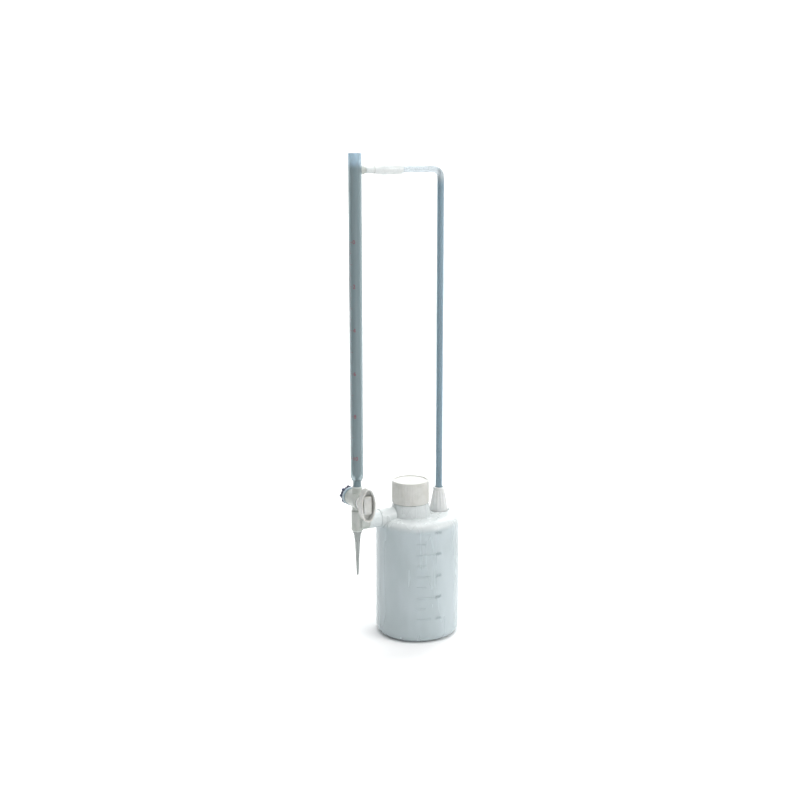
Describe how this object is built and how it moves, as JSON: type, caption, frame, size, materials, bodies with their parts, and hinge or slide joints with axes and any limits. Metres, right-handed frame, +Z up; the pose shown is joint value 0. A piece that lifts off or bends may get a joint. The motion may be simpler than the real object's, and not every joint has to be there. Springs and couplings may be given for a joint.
{
  "type": "automatic burette",
  "caption": "Squeeze-bottle automatic burette: graduated tube on an arm, side fill tube, stopcock with oval handle, drawn tip and screw-capped reservoir.",
  "frame": {"origin": "centre of the bottle's foot, on the table", "axes": "+Z up; the graduated tube is at -X, the fill tube at +X; the stopcock's handle points to -Y"},
  "size_m": [0.1131, 0.08, 0.459],
  "materials": {
    "bottle": "translucent, faintly blue, softly glossy",
    "cap": "white, satin",
    "liner": "soft, matt",
    "gland": "white, satin",
    "ferrule": "soft, matt",
    "feed": "translucent, pale blue, glossy",
    "sleeve": "translucent soft tube",
    "scale_tube": "clear, faintly blue-grey, glossy",
    "fitting": "off-white, translucent",
    "bush": "soft, matt",
    "plug": "white, waxy",
    "seal": "soft, matt",
    "handle": "pale grey, satin",
    "washer": "pale blue, satin",
    "nut": "very dark blue, satin",
    "arm": "translucent grey-blue",
    "tip": "translucent, drawn out"
  },
  "bodies": {
    "base": {"reservoir_bottle": "bottle", "fill_tube": "feed", "dip_tube": "feed", "burette_tube": "scale_tube", "side_nipple": "fitting", "joint_sleeve": "sleeve", "zero_nozzle": "feed", "stopcock_body": "fitting", "spigot_bush": "bush", "support_arm": "arm", "arm_seal": "seal", "delivery_tip": "tip", "tip_seal": "bush"},
    "liner": {"cap_liner": "liner"},
    "cap": {"bottle_cap": "cap"},
    "ferrule": {"port_ferrule": "ferrule"},
    "gland": {"port_nut": "gland"},
    "plug": {"stopcock_plug": "plug", "plug_o_ring": "seal", "stopcock_handle": "handle"},
    "washer": {"plug_washer": "washer"},
    "nut": {"tension_nut": "nut"}
  },
  "joints": [
    {"name": "liner_lift", "type": "slide", "parent": "base", "child": "liner", "axis": [0, 0, 1], "range_m": [0, 0.012]},
    {"name": "cap_turn", "type": "hinge", "parent": "liner", "child": "cap", "pos_m": [-0.0076, 0, 0.13], "axis": [0, 0, 1], "range_deg": [0, 1080.5]},
    {"name": "ferrule_lift", "type": "slide", "parent": "base", "child": "ferrule", "axis": [0, 0, 1], "range_m": [0, 0.005]},
    {"name": "gland_turn", "type": "hinge", "parent": "ferrule", "child": "gland", "pos_m": [0.0234, 0, 0.12], "axis": [0, 0, 1], "range_deg": [0, 900.5]},
    {"name": "plug_turn", "type": "hinge", "parent": "base", "child": "plug", "pos_m": [-0.064, 0, 0.1398], "axis": [0, 1, 0], "continuous": true},
    {"name": "washer_slide", "type": "slide", "parent": "plug", "child": "washer", "axis": [0, 1, 0], "range_m": [0, 0.003]},
    {"name": "nut_turn", "type": "hinge", "parent": "washer", "child": "nut", "pos_m": [-0.064, 0.014, 0.1398], "axis": [0, 1, 0], "range_deg": [0, 720.5]}
  ],
  "couplings": [
    {"joint": "cap_turn", "follows": "liner_lift", "rad_per_m": 1570.8},
    {"joint": "gland_turn", "follows": "ferrule_lift", "rad_per_m": 3141.6},
    {"joint": "nut_turn", "follows": "washer_slide", "rad_per_m": 4188.8}
  ]
}
